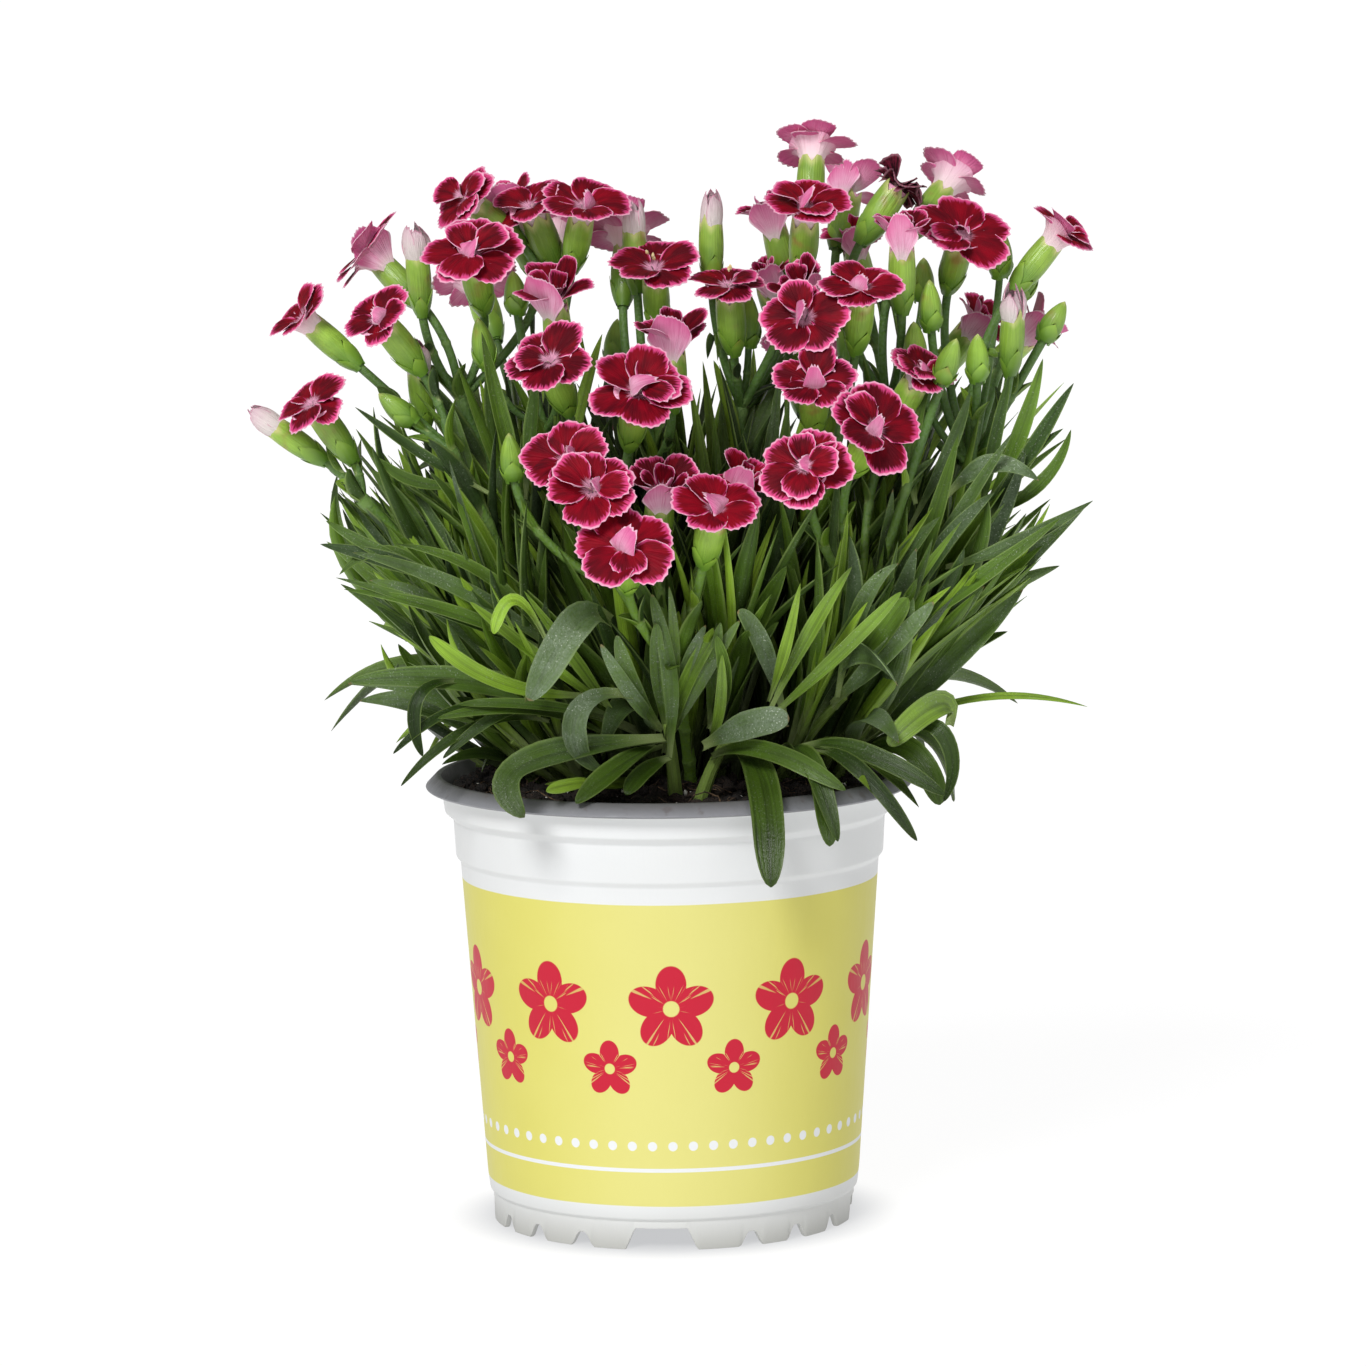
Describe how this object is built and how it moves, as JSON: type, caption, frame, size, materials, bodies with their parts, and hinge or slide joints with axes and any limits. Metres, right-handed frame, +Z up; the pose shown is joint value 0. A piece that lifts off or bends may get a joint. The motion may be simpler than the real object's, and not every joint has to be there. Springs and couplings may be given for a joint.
{
  "type": "dianthus plant in a nursery pot",
  "caption": "Flowering dianthus with narrow grey-green leaves and crimson, pink-edged blooms, growing in soil in a round white nursery pot with a plain printed band.",
  "frame": {"origin": "middle of the pot's base, on the surface that it stands on", "axes": "+Z up along the pot's axis, -Y towards the front, +X to the right seen from the front"},
  "size_m": [0.2081, 0.155, 0.2723],
  "materials": {
    "pot_plastic": "white moulded polypropylene with a fine satin surface, grey inside and on the lip, yellow printed band",
    "soil": "dark moist peat with white perlite grains and fibres",
    "leaf": "grey-green living leaf with a waxy bloom",
    "stem": "yellow-green living stem and calyx, smooth and slightly waxy",
    "petal": "velvety crimson petal with a toothed pale pink edge and a pink back"
  },
  "bodies": {
    "root": {"pot": "pot_plastic", "soil": "soil", "flowering_stem_01": "stem", "flowering_stem_02": "stem", "flowering_stem_03": "stem", "flowering_stem_04": "stem", "flowering_stem_05": "stem", "flowering_stem_06": "stem", "flowering_stem_07": "stem", "flowering_stem_08": "stem", "flowering_stem_09": "stem", "flowering_stem_10": "stem", "flowering_stem_11": "stem", "flowering_stem_12": "stem", "flowering_stem_13": "stem", "flowering_stem_14": "stem", "leaf_shoot_01": "leaf", "leaf_shoot_02": "leaf", "leaf_shoot_03": "leaf", "leaf_shoot_04": "leaf", "leaf_shoot_05": "leaf", "leaf_shoot_06": "leaf", "leaf_shoot_07": "leaf", "leaf_shoot_08": "leaf", "leaf_shoot_09": "leaf", "leaf_shoot_10": "leaf", "leaf_shoot_11": "leaf", "flower_01": "petal", "flower_02": "petal", "flower_03": "petal", "flower_04": "petal", "flower_05": "petal", "flower_06": "petal", "flower_07": "petal", "flower_08": "petal", "flower_09": "petal", "flower_10": "petal", "flower_11": "petal", "flower_12": "petal", "flower_13": "petal", "flower_14": "petal", "flower_15": "petal", "flower_16": "petal", "flower_17": "petal", "flower_18": "petal", "flower_19": "petal", "flower_20": "petal", "flower_21": "petal", "flower_22": "petal", "flower_23": "petal", "flower_24": "petal", "flower_25": "petal", "flower_26": "petal", "flower_27": "petal", "flower_28": "petal", "flower_29": "petal", "flower_30": "petal", "flower_31": "petal", "flower_32": "petal", "flower_33": "petal"}
  },
  "joints": []
}
